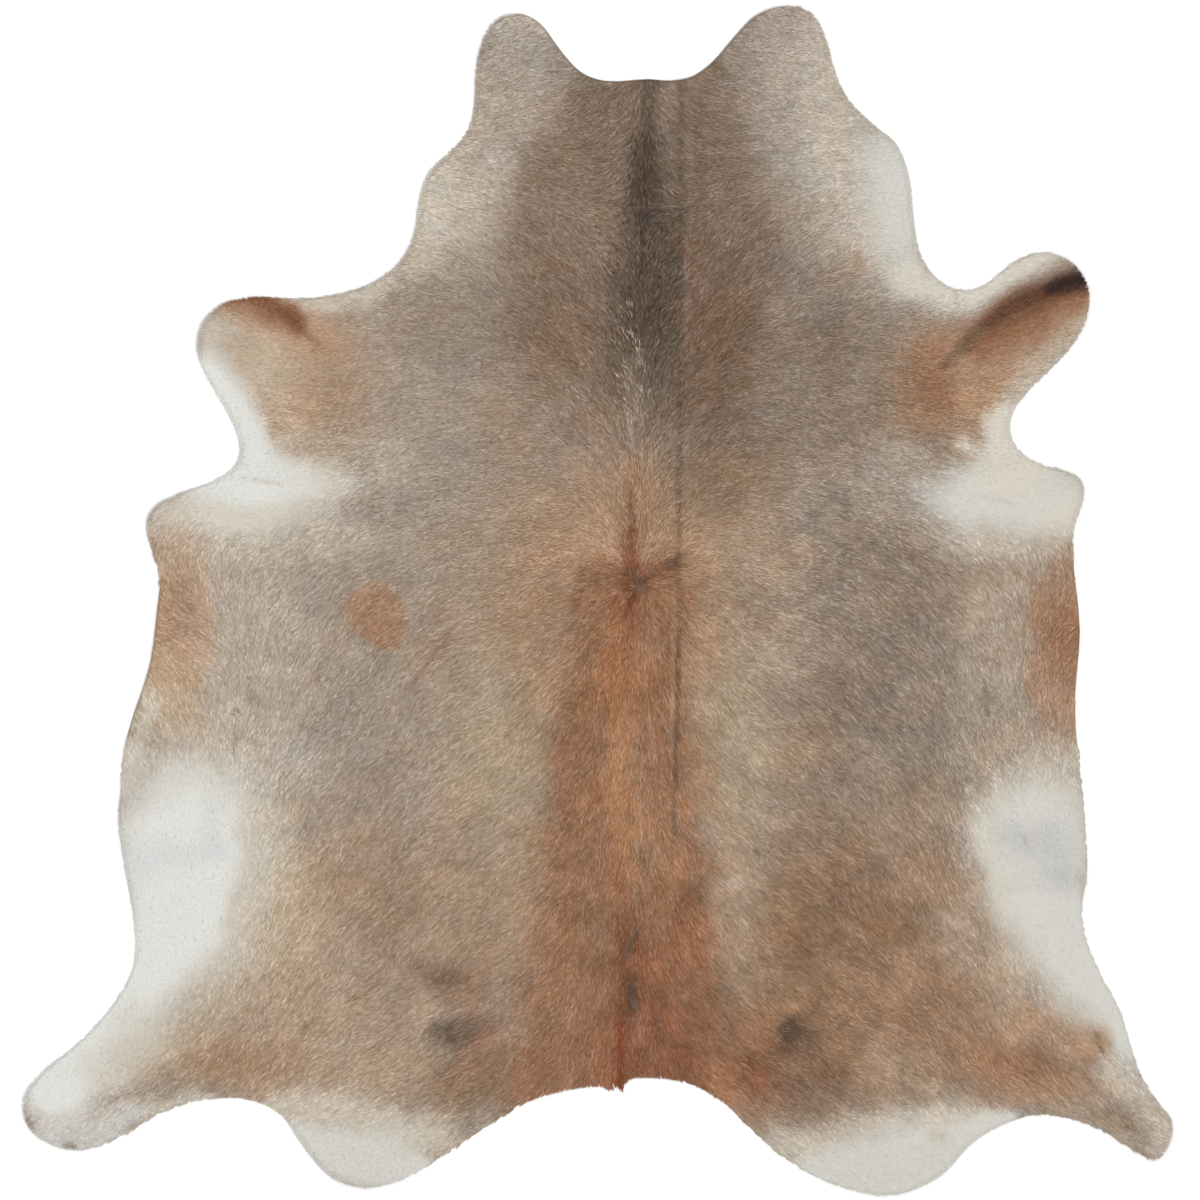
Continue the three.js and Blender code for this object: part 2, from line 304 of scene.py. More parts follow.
# Bands of colour, painted after the patches: colour, strength, points across and along with the band's half
# width there, and softness where it isn't the usual one.
BAND_SOFTNESS = 0.9
BANDS = [
    # The back, from the neck to the tail.
    ("umber", 0.9, [(90, 970, 20), (88, 820, 28)], 0.8),
    ("deep_umber", 0.95, [(86, 835, 18), (84, 760, 30), (83, 705, 28)], 0.8),
    ("clay", 0.95, [(2, 45, 36), (-5, -100, 65), (-15, -280, 70), (-25, -420, 80), (-30, -600, 90),
        (-45, -800, 110), (-60, -900, 110)], 0.45),
    ("clay", 0.95, [(125, 30, 45), (120, -200, 48), (120, -400, 52), (135, -500, 75), (140, -700, 80),
        (150, -900, 95)], 0.45),
    ("sienna", 0.8, [(140, -580, 40), (145, -700, 60), (150, -900, 70)]),
    ("grey_taupe", 0.4, [(66, 450, 10), (66, 400, 12)]),
    ("pale_taupe", 0.35, [(64, 415, 4), (66, 390, 14), (64, 340, 16), (64, 290, 8)]),
    ("clay", 0.4, [(64, 265, 10), (63, 200, 18), (60, 120, 24)], 0.8),
    ("rust", 0.9, [(58, 110, 18), (56, 20, 32), (52, -50, 24)], 0.8),
    ("chestnut", 0.95, [(62, 62, 12), (60, 30, 22), (60, -5, 14)], 0.8),
    ("rust", 0.8, [(70, 48, 14), (110, 58, 13), (150, 66, 13)]),
    ("ginger", 0.95, [(40, -40, 26), (48, -150, 42), (48, -200, 34)], 0.8),
    ("peach", 0.9, [(48, -190, 20), (46, -260, 28), (46, -400, 30), (44, -470, 24)], 0.8),
    ("ginger", 0.8, [(45, -480, 20), (44, -560, 22), (44, -620, 16)], 0.8),
    ("rust", 0.9, [(52, -585, 22), (60, -650, 34), (65, -720, 60), (80, -800, 75), (85, -900, 80)], 0.7),
    ("chestnut", 0.5, [(60, -690, 14), (52, -760, 18), (45, -880, 16)]),
    ("russet", 0.7, [(42, -790, 7), (38, -850, 10), (34, -905, 12)]),
    ("rust", 0.6, [(140, -842, 26), (162, -850, 26)]),
    # Left fore shank.
    ("cream", 0.9, [(-550, 564, 24), (-500, 562, 28), (-440, 566, 24), (-385, 590, 20)], 0.8),
    ("apricot", 0.8, [(-700, 540, 14), (-650, 530, 22), (-600, 516, 28), (-550, 494, 30),
        (-500, 470, 28)], 1),
    ("sienna", 0.8, [(-692, 550, 10), (-658, 548, 20), (-615, 538, 28), (-575, 522, 24), (-545, 506, 16)]),
    ("chestnut", 0.85, [(-652, 556, 12), (-615, 547, 19), (-582, 533, 18), (-545, 514, 12)], 1),
    ("chestnut", 0.5, [(-545, 512, 9), (-528, 488, 6), (-518, 470, 5)], 1),
    ("white", 1, [(-722, 418, 38), (-680, 366, 43), (-657, 315, 40), (-632, 265, 44)], 0.7),
    ("apricot", 0.5, [(-600, 315, 10), (-596, 288, 9)]),
    # Left flank and hind leg.
    ("straw", 0.8, [(-580, -400, 35), (-600, -560, 42), (-650, -680, 40), (-740, -770, 40),
        (-850, -860, 36)], 0.7),
    ("cream", 0.9, [(-830, -180, 14), (-850, -240, 18), (-870, -300, 20), (-884, -340, 14)], 0.8),
    ("pale", 1, [(-1010, -1000, 40), (-920, -975, 32), (-860, -940, 26), (-780, -935, 20),
        (-730, -925, 16)], 0.7),
    ("white", 1, [(-762, -452, 144), (-775, -590, 112), (-840, -665, 100), (-886, -719, 100),
        (-941, -789, 100), (-957, -843, 80), (-1000, -900, 70)], 0.55),
    ("cream", 0.6, [(-840, -795, 46), (-915, -872, 38)]),
    ("stone", 0.9, [(-1025, -1000, 30), (-960, -1002, 28), (-900, -972, 22), (-850, -946, 13)], 0.8),
    ("cream", 0.7, [(-636, -400, 24), (-634, -560, 24), (-672, -664, 24)]),
    # Cool grey on the left flank: partly the hide's own tint, partly painted shade of its slight waviness.
    ("cool_white", 0.8, [(-900, -505, 40), (-800, -480, 28), (-700, -468, 16)]),
    ("cool_white", 0.7, [(-714, -385, 16), (-706, -460, 16)]),
    ("cream", 0.95, [(-590, -928, 24), (-510, -945, 36), (-430, -958, 38), (-370, -990, 38),
        (-300, -990, 36)], 0.8),
    ("bone", 1, [(-580, -985, 26), (-500, -1020, 52), (-430, -1040, 62), (-370, -1060, 50),
        (-330, -1060, 30)], 0.5),
    # Right rump and hind leg.
    ("cream", 0.85, [(340, -1020, 34), (430, -1005, 36), (540, -966, 36), (650, -950, 34),
        (740, -965, 22)], 1),
    ("bone", 0.95, [(400, -1060, 36), (500, -1055, 60), (600, -1040, 70), (690, -1000, 50),
        (760, -965, 20)], 0.4),
    ("pale", 0.85, [(1050, -995, 32), (1045, -935, 36), (990, -905, 30), (950, -868, 26)], 0.8),
    ("dun", 0.7, [(920, -955, 14), (960, -965, 20)], 0.8),
    ("pale", 0.8, [(716, -400, 28), (742, -530, 34), (790, -640, 40), (862, -745, 38), (935, -820, 28)], 0.8),
    ("bone", 1, [(812, -440, 112), (826, -540, 90), (882, -647, 74), (962, -722, 76), (1008, -805, 58)], 0.5),
    ("ivory", 0.5, [(740, -362, 20), (860, -356, 20)]),
    ("ivory", 0.6, [(720, -430, 20), (732, -510, 20), (757, -575, 18)]),
    # Grey on the right flank: partly the hide's own tint, partly painted shade of its waviness and of a small
    # fold by its edge.
    ("stone", 0.9, [(765, -440, 30), (840, -455, 40)], 0.8),
    ("stone", 0.8, [(860, -510, 36), (890, -525, 20)]),
    ("hazel", 0.6, [(800, -780, 30), (880, -815, 30)]),
    ("apricot", 0.85, [(885, -838, 20), (928, -826, 22)], 0.8),
    # Right fore shank.
    ("ivory", 1, [(795, 370, 46), (778, 310, 62), (765, 240, 70)], 0.35),
    ("pale", 0.95, [(905, 530, 12), (890, 495, 26), (850, 448, 32), (810, 415, 36), (770, 395, 26)], 0.7),
    ("ivory", 0.95, [(575, 598, 34), (640, 562, 36), (700, 572, 32), (760, 602, 26), (820, 636, 22),
        (870, 644, 14)], 0.8),
    ("apricot", 0.9, [(895, 545, 14), (840, 520, 40), (780, 480, 46), (720, 430, 50)], 1),
    ("sienna", 0.9, [(900, 572, 10), (850, 552, 26), (800, 522, 38), (750, 494, 38), (700, 466, 24)]),
    ("cream", 0.85, [(680, 286, 15), (690, 274, 15)], 0.8),
]

# Colours meet along wandering edges: how far they wander, and over what length.
WANDERS = [(9, 42), (5, 17)]

# The coat's soft mottling: how strong, over what length, and how much redder it turns, which changes red,
# green and blue by these shares.
MOTTLES = [(0.030, 15, 0.002), (0.034, 27, 0.007), (0.032, 48, 0.013), (0.016, 90, 0.010)]
REDDER = (1, 0, -1.2)

# Small marks, painted last and in their true places, in the same way as the bands.
MARKS = [
    # The crease beside the back line: painted shadow in its groove, painted highlight on its lit side.
    # On the shoulder the colour changes across it, partly as the fold's painted shade.
    ("warm_brown", 0.7, [(178, 650, 25), (176, 520, 26), (174, 370, 24)], 0.35),
    ("deep_umber", 0.28, [(155, 960, 3), (153, 640, 4), (152, 400, 4)]),
    ("deep_umber", 0.48, [(152, 400, 3), (151, 111, 4), (146, -200, 4), (140, -425, 3), (138, -480, 1)]),
    ("tan", 0.45, [(146, 60, 3), (139, -100, 4), (134, -330, 3)]),
    ("umber", 0.5, [(138, -392, 4), (144, -425, 3)], 0.8),
    ("umber", 0.45, [(183, -532, 4), (192, -564, 3)], 0.8),
    # The spine's dark line and its crest.
    ("charcoal", 0.4, [(82, 700, 5), (79, 600, 4), (77, 540, 5)]),
    ("charcoal", 0.55, [(84, 714, 11), (80, 694, 8)]),
    # The whorl in the middle of the back.
    ("umber", 0.8, [(126, 61, 5), (136, 67, 5)], 0.8),
    ("umber", 0.8, [(145, 76, 6), (151, 66, 6)], 0.8),
    ("warm_brown", 0.6, [(151, 40, 4), (152, 26, 4)], 0.8),
    ("rust", 0.6, [(60, 195, 5), (58, 110, 7), (60, 70, 6)]),
    ("chestnut", 0.5, [(66, 161, 3), (61, 95, 4), (60, 72, 6), (62, 56, 5)]),
    ("dark_chestnut", 0.55, [(71, 25, 15), (79, 20, 15)]),
    ("deep_umber", 0.5, [(80, 32, 4), (104, 52, 3)]),
    ("chestnut", 0.8, [(66, 10, 6), (54, -18, 9), (50, -36, 5)]),
    ("deep_umber", 0.5, [(70, 32, 4), (56, 58, 2)]),
    ("grey_taupe", 0.8, [(76, 25, 3.5), (78, 23, 3.5)]),
    # Scars and dark marks on the rump.
    ("umber", 0.8, [(75, -612, 3), (66, -626, 4), (57, -641, 4), (53, -657, 3)], 0.7),
    ("deep_umber", 0.75, [(57, -710, 5), (61, -728, 7), (66, -746, 10), (66, -758, 8)], 0.8),
    ("dim_taupe", 0.8, [(65, -745, 5), (67, -750, 5)], 0.8),
    ("chestnut", 0.45, [(46, -640, 3), (44, -776, 4)]),
    ("warm_brown", 0.8, [(338, -583, 6), (329, -596, 6)], 0.8),
    ("bay", 0.6, [(-456, -736, 6), (-450, -737, 6)], 0.8),
    ("bay", 0.6, [(-541, -786, 6), (-533, -787, 6)], 0.8),
    ("bay", 0.7, [(262, -684, 5), (268, -685, 5)], 0.8),
    ("warm_brown", 0.6, [(290, -464, 5), (296, -469, 5)], 0.8),
    ("warm_brown", 0.6, [(166, -749, 5), (171, -750, 5)], 0.8),
    ("hazel", 0.7, [(350, -752, 9), (368, -753, 9)]),
    ("pale_taupe", 0.6, [(244, -518, 10), (262, -518, 10)]),
    # Scars and other marks on the left side.
    ("bay", 0.6, [(-265, -46, 3), (-300, -95, 4), (-348, -166, 3)], 0.8),
    ("bay", 0.5, [(-477, -444, 4), (-436, -447, 5), (-394, -444, 4)], 0.8),
    ("bay", 0.45, [(-492, -508, 4), (-450, -508, 5)], 0.8),
    ("cream", 0.5, [(-496, 301, 3), (-420, 291, 3), (-348, 287, 2)], 0.8),
    ("cream", 0.6, [(-673, -209, 15), (-667, -209, 15)]),
    ("umber", 0.85, [(-672, -209, 5), (-668, -209, 5)], 0.8),
    ("grey_taupe", 0.5, [(-642, -178, 8), (-630, -188, 9)]),
    # Painted shade along a pucker in the left armpit.
    ("pale", 0.4, [(-657, 226, 3), (-620, 219, 4), (-579, 213, 3)]),
    ("dim_taupe", 0.7, [(-986, -1008, 5), (-970, -1010, 5)]),
    # The dark stripe on the right fore shank.
    ("chestnut", 0.95, [(900, 588, 18), (860, 578, 22), (827, 566, 24), (788, 550, 25), (748, 526, 24),
        (708, 500, 18), (680, 474, 12)]),
    ("dark_chestnut", 0.6, [(850, 580, 12), (827, 571, 14), (788, 555, 14), (748, 534, 12), (712, 503, 8)]),
    ("warm_brown", 0.8, [(706, 497, 11), (677, 471, 12), (655, 450, 9), (637, 432, 7)], 1),
    ("soot", 0.95, [(906, 596, 17), (880, 590, 18), (855, 582, 15), (835, 575, 9)]),
    # Marks on the right side.
    ("dim_taupe", 0.6, [(713, -166, 5), (718, -190, 8), (722, -213, 5)]),
    # Painted shade along a fold in the right armpit and along a crease by the shoulder's notch.
    ("pale_taupe", 0.2, [(696, 194, 3), (735, 186, 4), (770, 176, 3)]),
    ("light_taupe", 0.6, [(663, 573, 3), (669, 527, 3)], 0.8),
    ("warm_brown", 0.55, [(208, 998, 6), (222, 984, 10), (236, 968, 6)]),
    ("hazel", 0.3, [(465, 650, 7), (480, 630, 9), (492, 610, 7)]),
    ("dun", 0.5, [(788, -444, 4), (791, -446, 4)]),
    # Painted shade at a small fold by the right flank's edge.
    ("pale", 0.7, [(890, -518, 8), (900, -545, 8)], 0.8),
    ("cream", 0.7, [(683, -353, 7), (689, -352, 6)], 0.8),
    ("cream", 0.5, [(561, 68, 4), (581, 53, 3)], 0.8),
    ("deep_umber", 0.7, [(921, -799, 3), (926, -812, 2.5)]),
    ("deep_umber", 0.6, [(923, -818, 2.5), (934, -838, 2.5)]),
    ("grey_taupe", 0.5, [(948, -938, 9), (985, -965, 12), (1015, -1000, 7)]),
    ("warm_brown", 0.7, [(940, -947, 5), (945, -949, 5)], 0.8),
    ("warm_brown", 0.6, [(972, -973, 5), (977, -975, 5)], 0.8),
    ("pale", 0.7, [(622, -991, 10), (638, -991, 10)]),
]

# Hairs of another colour scattered among the rest: colour, share, and the patch they grow in.
FLECKS = [
    ("straw", 0.2, 63, 405, 20, 105),
    ("umber", 0.1, 75, 390, 80, 110),
    ("soot", 0.08, 82, 600, 55, 190),
    ("chestnut", 0.1, 65, 10, 70, 70),
]
FLECK_STRENGTH = 0.6

# Where the coat is more or less ruffled than its colour alone would make it: how much, and the patch.
RUFFLED = [
    (1.1, 85, 640, 110, 400, 0.6),
    (0.85, 60, -780, 140, 200, 0.6),
    (0.5, 790, 520, 170, 75, 0.5, 35),
    (0.5, -590, 480, 170, 110, 0.5, -15),
    (0.8, -300, 400, 200, 180),
    (1.25, 500, -100, 200, 380, 0.7),
    (0.35, -790, -520, 130, 200, 0.5),
    (0.4, -910, -780, 120, 110, 0.5),
    (0.3, 830, -500, 125, 170, 0.4),
    (0.4, 935, -730, 90, 90, 0.5),
    (0.4, -650, 215, 150, 75, 0.5),
    (0.4, 770, 190, 160, 75, 0.5),
    (0.4, -700, 390, 60, 120, 0.5, 20),
    (0.5, 555, 745, 75, 150, 0.6),
    (0.5, -450, -1030, 140, 65, 0.5),
    (0.5, 590, -1025, 190, 65, 0.5),
]

# Where the coat's soft mottling is stronger: how much, and the patch.
CLOUDED = [
    (1.6, 60, -500, 220, 480, 0.6),
    (1.7, 560, -780, 360, 260, 0.6),
    (1.5, -620, 470, 200, 140, 0.5),
    (1.3, 400, -100, 250, 350),
]

# Small tufts of hair that hang past the edge at the tail: across, along, half width and half length.
TUFTS = [(22, -897, 6, 14), (41, -897, 7, 14)]
TUFT_REACH = 9
TUFT_SOFTNESS = 0.6

# The coat's layers of hair, from the skin up. Each lock's length and width are in millimetres, its lift is
# the height of its tip as a share of the hide's thickness, and tone is how much locks differ in shade.
LOCK_SPACING = 6.4
LAYERS = [
    {"name": "undercoat_a", "length": (12, 17), "width": 3.6, "lift": (0.62, 0.78), "tone": 0.06},
    {"name": "undercoat_b", "length": (12, 17), "width": 3.4, "lift": (0.68, 0.84), "tone": 0.07},
    {"name": "coat_a", "length": (12, 19), "width": 2.6, "lift": (0.8, 0.94), "tone": 0.09},
    {"name": "coat_b", "length": (12, 19), "width": 2.4, "lift": (0.84, 0.98), "tone": 0.10},
    {"name": "guard_hair", "length": (13, 20), "width": 2.2, "lift": (0.88, 1.04), "tone": 0.12},
]

# A lock's shape, in shares of its length, width and rise, with its root's height in millimetres.
ROOT_HEIGHT = 1.6
WIDEST_AT = 0.42
WIDTH_SPREAD = (0.75, 1.25)
LOCK_FOLD = 0.26
LOCK_SWERVE = 0.1
SWERVE_AT_WIDEST = 0.15
RISE_AT_WIDEST = 0.55
LIFT_LIMITS = (0.4, 1.12)
HEADING_SPREAD = 9

# Relief is how much the coat shows its texture. It is least in the whites, where the coat is smooth.
LEAST_RELIEF = 0.08
WIDER_WHERE_SMOOTH = 1.4
STRAIGHTER_WHERE_SMOOTH = 0.6
ROOT_RISE_WHERE_SMOOTH = 0.75
# Painted shade: how much darker the locks are made where the coat is smooth, for the shadow between locks it
# lacks.
SHADE_PAINTED_WHERE_SMOOTH = 0.044

# At the hide's edge locks are cut short, droop and are a little darker, which is painted shade.
TIP_OVERHANG = 0.7
SHORTEST_SHARE = 0.1
LEAST_OUTWARD_RUN = 0.1
RIM_SHADE = 0.04
RIM_SHADE_REACH = 5.0
RIM_DROOP = 0.45
RIM_DROOP_REACH = 6.0

# Each lock's tone is read at this share of its length, and a painted shade runs from its dark root to its
# light tip.
SHADED_AT = 0.55
TONE_LIMIT = 1.7
SHADE_AT_CORNERS = (-1.0, 0.1, 1.0, 0.1)
LOCK_CORNERS = len(SHADE_AT_CORNERS)

# How much neighbouring hairs differ, by the coat's brightness: most in dark hair, hardly at all in white.
CONTRAST_BY_BRIGHTNESS = [(60, 1.8), (130, 0.95), (170, 0.75), (205, 0.13), (215, 0.05)]

# Lighter hairs are greyer than darker ones: the power of that, and the step of tone it is worked out from.
LIGHT_IS_GREYER = 0.5
LIGHTENING_STEP = 0.1

# The hair's own sheen pales its colour, so the colour is made that much richer, less the light it adds.
RICHER = 0.06
SHEEN = 0.005

# Hair materials: painted shade at a lock's root and tip, as a share of light, which varies more than tone
# does.
HAIR_SHADES = {"undercoat_hair": (-0.14, 0.06), "coat_hair": (-0.1, 0.1)}
UNDERCOAT_LAYERS = 2
HAIR_SPECULAR = 0.3
LIGHT_PER_TONE = 2.2

# Fine noise in the materials: its size in millimetres, its detail, the span of it used, and what it gives.
TEXTURES = {
    "hair grain": (1.6, 2, (0.25, 0.75), (-0.05, 0.05)),
    "hair mottle": (22, 3, (0.25, 0.75), (-0.03, 0.03)),
    "hair roughness": (9, 2, (0.3, 0.7), (0.58, 0.76)),
    "shade in gaps between locks": (2.2, 2, (0.3, 0.7), (-0.22, -0.08)),
    "suede nap": (1.1, 3, (0.3, 0.7), (0.88, 1.1)),
    "floor tint": (900, 2, (0, 1), (0.985, 1.0)),
}
SKIN_ROUGHNESS = 0.9

# The flesh side: clouds between two colours, and fine bumps. Both have their noise's size and detail.
SUEDE_COLOURS = ((168, 150, 128), (204, 190, 168))
SUEDE_CLOUD_SPAN = (0.3, 0.7)
SUEDE_CLOUD = (70, 6)
SUEDE_BUMP = (1.4, 4)
SUEDE_BUMP_HEIGHT = 0.6
SUEDE_BUMP_STRENGTH = 0.5
SUEDE_ROUGHNESS = 0.92

rng = np.random.default_rng(SEED)


def smooth(share):
    share = np.clip(share, 0, 1)
    return share * share * (3 - 2 * share)


def blotches(places, cell, seed):
    """Smooth random values from -1 to 1, a cell across each."""
    side = 64
    table = np.random.default_rng(seed).uniform(-1, 1, (side, side))
    spot = places / cell
    corner = np.floor(spot).astype(int)
    part = smooth(spot - corner)
    x0, y0 = (corner % side).T
    x1, y1 = ((corner + 1) % side).T
    low = table[x0, y0] * (1 - part[:, 0]) + table[x1, y0] * part[:, 0]
    high = table[x0, y1] * (1 - part[:, 0]) + table[x1, y1] * part[:, 0]
    return low * (1 - part[:, 1]) + high * part[:, 1]


class Field:
    """Values kept on an even grid over the hide, and read at any place between its points."""

    def __init__(self, low, step, values):
        self.low = np.array(low)
        self.step = step
        self.values = values
        self.last = np.array(values.shape[:2]) - 1

    def __call__(self, places):
        spot = np.clip((places - self.low) / self.step, 0, self.last - 1e-6)
        corner = spot.astype(int)
        part = spot - corner
        x, y = corner.T
        values = self.values.reshape(*self.values.shape[:2], -1)
        across, along = part[:, :1], part[:, 1:]
        near = values[x, y] * (1 - across) + values[x + 1, y] * across
        far = values[x, y + 1] * (1 - across) + values[x + 1, y + 1] * across
        found = near * (1 - along) + far * along
        return found[:, 0] if self.values.ndim == 2 else found


def grid_places(step):
    """The lowest corner, the shape and the places of an even grid that covers the hide."""
    low, high = (np.array(corner[:2]) / MM for corner in CAD_BOX)
    low = low - GRID_MARGIN
    counts = np.ceil((high + GRID_MARGIN - low) / step).astype(int) + 1
    across, along = (low[axis] + step * np.arange(counts[axis]) for axis in (0, 1))
    x, y = np.meshgrid(across, along, indexing="ij")
    return low, tuple(counts), np.stack([x.ravel(), y.ravel()], 1)


def packed_hide():
    """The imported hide's points in millimetres, with doubles joined, its faces, and how far up each looks."""
    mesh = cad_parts["hide"].data
    points = np.empty(len(mesh.vertices) * 3, np.float32)
    mesh.vertices.foreach_get("co", points)
    points, joined = np.unique((points.reshape(-1, 3) / MM).round(3), axis=0, return_inverse=True)
    faces = [[int(joined[v]) for v in polygon.vertices] for polygon in mesh.polygons]
    return points, faces, [polygon.normal.z for polygon in mesh.polygons]


def hide_rim(points, faces, tilts):
    """The hide's edge as one even loop of points, anticlockwise, with its facets smoothed away."""
    ahead = {}
    for face, tilt in zip(faces, tilts):
        if tilt < UNDERSIDE_TILT:
            for a, b in zip(face, face[1:] + face[:1]):
                if a in ahead.get(b, ()):
                    ahead[b].remove(a)
                else:
                    ahead.setdefault(a, set()).add(b)
    start = next(a for a, nexts in ahead.items() if nexts)
    loop = [start]
    while True:
        following = next(iter(ahead[loop[-1]]))
        if following == start:
            break
        loop.append(following)
    corners = points[loop, :2]
    closed = np.vstack([corners, corners[:1]])
    travel = np.append(0, np.cumsum(np.hypot(*np.diff(closed, axis=0).T)))
    even = np.arange(0, travel[-1], RIM_STEP)
    rim = np.stack([np.interp(even, travel, closed[:, axis]) for axis in (0, 1)], 1)
    offsets = np.arange(-RIM_NEIGHBOURS, RIM_NEIGHBOURS + 1)
    weights = np.exp(-((offsets * RIM_STEP / RIM_SMOOTHING) ** 2))
    rim = sum(w * np.roll(rim, k, axis=0) for k, w in zip(offsets, weights / weights.sum()))
    x, y = rim.T
    area = (x * np.roll(y, -1) - np.roll(x, -1) * y).sum() / 2
    return rim if area > 0 else rim[::-1]


def rim_normals(rim):
    ahead = np.roll(rim, -1, axis=0) - np.roll(rim, 1, axis=0)
    normals = np.stack([ahead[:, 1], -ahead[:, 0]], 1)
    return normals / np.linalg.norm(normals, axis=1, keepdims=True)


def rim_finder(rim):
    """A function that gives the number of the rim's point nearest to each place."""
    tree = KDTree(len(rim))
    for i, (x, y) in enumerate(rim):
        tree.insert((x, y, 0), i)
    tree.balance()
    return lambda places: np.array([tree.find((x, y, 0))[1] for x, y in places])


def inside_field(rim, nearest):
    """How far each place lies inside the hide's edge, and the nearest place just inside that edge."""
    low, shape, places = grid_places(SHAPE_STEP)
    near = nearest(places)
    normals = rim_normals(rim)[near]
    offset = rim[near] - places
    far = np.hypot(*offset.T)
    inside = np.sign((offset * normals).sum(1))
    return Field(low, SHAPE_STEP, (far * inside).reshape(shape)), rim[near] - JUST_INSIDE_EDGE * normals


def base_field(points, faces, inside, just_inside):
    """How high the hide's flesh side stands off the floor, carried on past its edge."""
    low, shape, places = grid_places(SHAPE_STEP)
    tree = BVHTree.FromPolygons([Vector(p) for p in points], faces)
    places = np.where((inside.values.ravel() > NEAR_EDGE)[:, None], places, just_inside)
    up = Vector((0, 0, 1))
    heights = []
    for x, y in places:
        hit = tree.ray_cast(Vector((x, y, FROM_BELOW)), up)[0]
        heights.append(hit.z if hit else 0)
    return Field(low, SHAPE_STEP, np.array(heights).reshape(shape))


def back_line(along):
    places, across = zip(*reversed(BACK_LINE))
    return np.interp(along, places, across)


def lie_of_hair(places):
    """The unit direction in which the hair lies at each place."""
    from_back = places[:, 0] - back_line(places[:, 1])
    distance = np.abs(from_back)
    side = np.where(from_back < 0, -1.0, 1.0)
    strip = np.interp(distance, [far for far, _ in HAIR_LIE.values()], range(len(HAIR_LIE)))
    inner = np.minimum(strip.astype(int), len(HAIR_LIE) - 2)
    share = strip - inner
    each = np.arange(len(places))
    found = []
    for part in (np.cos, np.sin):
        strips = []
        for _, rows in HAIR_LIE.values():
            alongs, headings = zip(*sorted(rows))
            strips.append(np.interp(places[:, 1], alongs, part(np.radians(headings))))
        strips = np.array(strips)
        found.append(strips[inner, each] * (1 - share) + strips[inner + 1, each] * share)
    outward, along = found
    lie = np.stack([outward * side * smooth(distance / PARTING_REACH), along - LEAN_TO_RUMP], 1)
    for across, along, reach in WHORLS:
        out = places - (across, along)
        away = np.hypot(*out.T)
        weight = 1 - smooth(away / reach)
        lie = lie * (1 - weight)[:, None] + out / (away + 1e-6)[:, None] * weight[:, None]
    waver = sum(turn * blotches(places, cell, WAVER_SEED + i) for i, (turn, cell) in enumerate(WAVERS))
    lie = turned(lie, waver)
    return lie / (np.linalg.norm(lie, axis=1, keepdims=True) + 1e-9)


def lie_field():
    low, shape, places = grid_places(SHAPE_STEP)
    return Field(low, SHAPE_STEP, lie_of_hair(places).reshape(*shape, 2))


def streak_field(lie, reach, grain, seed):
    """Random values drawn out along the lie of the hair, with a spread of 1: the coat's tufts and streaks."""
    low, shape, places = grid_places(COAT_STEP)
    dots = Field(low, COAT_STEP, np.random.default_rng(seed).normal(size=shape))
    total = np.zeros(len(places))
    for way in (1, -1):
        spot = places.copy()
        for _ in range(int(reach / grain)):
            total += dots(spot)
            spot = spot + way * grain * lie(spot)
    total = np.clip((total - total.mean()) / total.std(), -STREAK_LIMIT, STREAK_LIMIT)
    return Field(low, COAT_STEP, total.reshape(shape))


def patch_weight(places, across, along, half_width, half_length, softness=PATCH_SOFTNESS, turn=0):
    x, y = (places - (across, along)).T
    c, s = math.cos(math.radians(turn)), math.sin(math.radians(turn))
    far = np.hypot((x * c + y * s) / half_width, (y * c - x * s) / half_length)
    return 1 - smooth((far - 1 + softness) / (2 * softness))


def band_weight(places, points, softness=BAND_SOFTNESS):
    most = np.full(len(places), -1e9)
    for (x0, y0, w0), (x1, y1, w1) in zip(points, points[1:]):
        run = np.array([x1 - x0, y1 - y0])
        share = np.clip((places - (x0, y0)) @ run / (run @ run), 0, 1)
        far = np.hypot(*(places - (x0, y0) - share[:, None] * run).T)
        most = np.maximum(most, 1 - far / (w0 + (w1 - w0) * share))
    return smooth((most + softness) / (2 * softness))


def wandering(places):
    """Places moved a little at random, so that what is drawn on them has a natural edge."""
    moved = places
    for i, (reach, cell) in enumerate(WANDERS):
        shift = np.stack([blotches(places, cell, WANDER_SEED + 2 * i + axis) for axis in (0, 1)], 1)
        moved = moved + reach * shift
    return moved


def painted(places):
    """The coat's colour at each place, from 0 to 255."""
    colour = np.tile(np.array(COLOURS[GROUND], float), (len(places), 1))
    spots = wandering(places)
    tables = ((PATCHES, spots, patch_weight), (BANDS, spots, band_weight), (MARKS, places, band_weight))
    for rows, where, weight in tables:
        for name, strength, *form in rows:
            colour += (np.array(COLOURS[name]) - colour) * (strength * weight(where, *form))[:, None]
    return colour


def coat_field():
    """The coat's colour with its mottling, and how much neighbouring hairs differ, over the whole hide."""
    low, shape, places = grid_places(COAT_STEP)
    colour = painted(places)
    contrast = np.interp(colour.mean(1), *zip(*CONTRAST_BY_BRIGHTNESS))
    clouds = np.ones(len(places))
    for rows, varied in ((RUFFLED, contrast), (CLOUDED, clouds)):
        for factor, *patch in rows:
            varied *= 1 + (factor - 1) * patch_weight(places, *patch)
    tone = np.zeros(len(places))
    redness = np.zeros(len(places))
    for i, (strength, cell, red) in enumerate(MOTTLES):
        tone += strength * blotches(places, cell, MOTTLE_SEED + 2 * i)
        redness += red * blotches(places, cell, MOTTLE_SEED + 2 * i + 1)
    colour *= np.exp(tone * contrast * clouds)[:, None]
    colour *= np.exp((redness * np.minimum(contrast, 1))[:, None] * REDDER)
    return Field(low, COAT_STEP, np.column_stack([colour, contrast]).reshape(*shape, 4))


def as_light(colour):
    """Colour values from 0 to 255 as the shares of light that a shader works with."""
    share = np.clip(colour / 255, 0, 1)
    return np.where(share <= 0.04045, share / 12.92, ((share + 0.055) / 1.055) ** 2.4)


